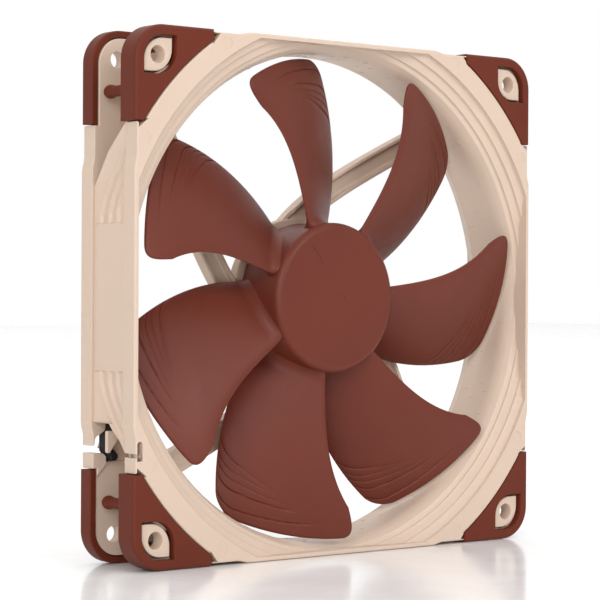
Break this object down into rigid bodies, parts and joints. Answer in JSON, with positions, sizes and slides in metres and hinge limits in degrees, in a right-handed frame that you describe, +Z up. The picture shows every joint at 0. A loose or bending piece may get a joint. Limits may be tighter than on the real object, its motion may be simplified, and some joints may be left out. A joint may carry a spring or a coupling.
{
  "type": "case fan",
  "caption": "Square axial cooling fan with swept blades in a stepped-inlet frame, soft corner pads, curved rear struts and a short lead with a connector.",
  "frame": {"origin": "centre of the fan on the rotor axis, halfway through its depth", "axes": "X across the fan, Y along the rotor axis with the inlet side towards -Y, Z up when it stands on edge"},
  "size_m": [0.14, 0.0602, 0.14],
  "materials": {
    "sand_plastic": "moulded, fine matte",
    "brown_plastic": "moulded, satin",
    "brown_rubber": "soft moulded silicone-like rubber",
    "steel": "machined",
    "magnet": "pressed ferrite, matte",
    "brass": "turned",
    "bronze": "sintered, matte",
    "copper": "enamelled copper wire",
    "laminate": "stamped electrical steel",
    "cream_plastic": "moulded",
    "board": "glass-epoxy board, solder mask",
    "black_plastic": "moulded",
    "black_rubber": "flexible sleeve and insulation",
    "ceramic": "chip capacitor body",
    "paper": "blank matte label",
    "tin": "tin-plated"
  },
  "bodies": {
    "housing": {"frame": "sand_plastic", "bearing_shell": "brass", "bearing_bush": "bronze", "oil_seal": "black_rubber", "stabiliser_magnet": "magnet", "thrust_pad": "black_plastic", "stator_core": "laminate", "insulator_front": "cream_plastic", "insulator_rear": "cream_plastic", "circuit_board": "board", "driver_chip": "black_plastic", "hall_sensor": "black_plastic", "capacitor": "ceramic", "resistor": "black_plastic", "rear_label": "paper", "strut_lead": "black_rubber", "lead_anchor": "black_rubber", "lead_cable": "black_rubber", "lead_coil": "black_rubber", "lead_tail": "black_rubber", "cable_tie": "black_plastic", "connector_housing": "black_plastic", "front_pad_upper_left": "brown_rubber", "front_pad_upper_right": "brown_rubber", "front_pad_lower_left": "brown_rubber", "front_pad_lower_right": "brown_rubber", "rear_pad_upper_left": "brown_rubber", "rear_pad_upper_right": "brown_rubber", "rear_pad_lower_left": "brown_rubber", "rear_pad_lower_right": "brown_rubber", "coil_1": "copper", "terminal_pin_1": "tin", "connector_contact_1": "tin", "coil_2": "copper", "terminal_pin_2": "tin", "connector_contact_2": "tin", "coil_3": "copper", "terminal_pin_3": "tin", "connector_contact_3": "tin", "coil_4": "copper", "terminal_pin_4": "tin", "connector_contact_4": "tin"},
    "rotor": {"impeller": "brown_plastic", "rotor_yoke": "steel", "ring_magnet": "magnet", "hub_bush": "brass", "shaft": "steel", "snap_ring": "steel"}
  },
  "joints": [
    {"name": "rotor_spin", "type": "hinge", "parent": "housing", "child": "rotor", "pos_m": [0, 0, 0], "axis": [0, -1, 0], "continuous": true}
  ]
}
